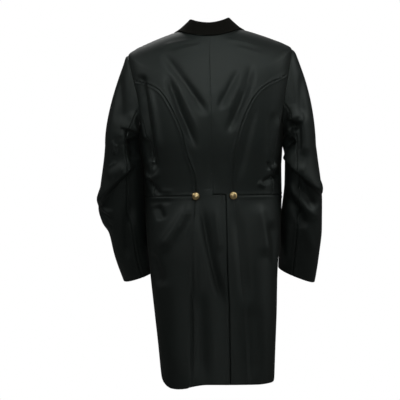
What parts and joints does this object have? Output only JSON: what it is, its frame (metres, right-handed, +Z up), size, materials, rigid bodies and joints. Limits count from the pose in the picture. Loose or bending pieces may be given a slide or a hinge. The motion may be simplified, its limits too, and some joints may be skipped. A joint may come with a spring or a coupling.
{
  "type": "shadbelly coat",
  "caption": "Black wool riding tailcoat, short in front with long tails behind, velvet collar and brass back buttons.",
  "frame": {"origin": "between the two neck points, where the wearer's shoulders hold the coat", "axes": "+Z up, -Y out of the coat's back, +X to the wearer's right"},
  "size_m": [0.5573, 0.2653, 0.9234],
  "materials": {
    "black_wool": "napped wool broadcloth",
    "black_velvet": "short pile velvet",
    "brass": "polished, softly worn"
  },
  "bodies": {
    "root": {"back_left": "black_wool", "back_right": "black_wool", "side_back_left": "black_wool", "side_back_right": "black_wool", "front_left": "black_wool", "front_right": "black_wool", "skirt_left": "black_wool", "skirt_right": "black_wool", "lapel_left": "black_wool", "lapel_right": "black_wool", "top_sleeve_left": "black_wool", "top_sleeve_right": "black_wool", "under_sleeve_left": "black_wool", "under_sleeve_right": "black_wool", "collar": "black_velvet", "button_waist_left": "brass", "button_waist_right": "brass", "button_front_left_top": "brass", "button_front_left_middle": "brass", "button_front_left_low": "brass", "button_front_right_top": "brass", "button_front_right_middle": "brass", "button_front_right_low": "brass"}
  },
  "joints": []
}
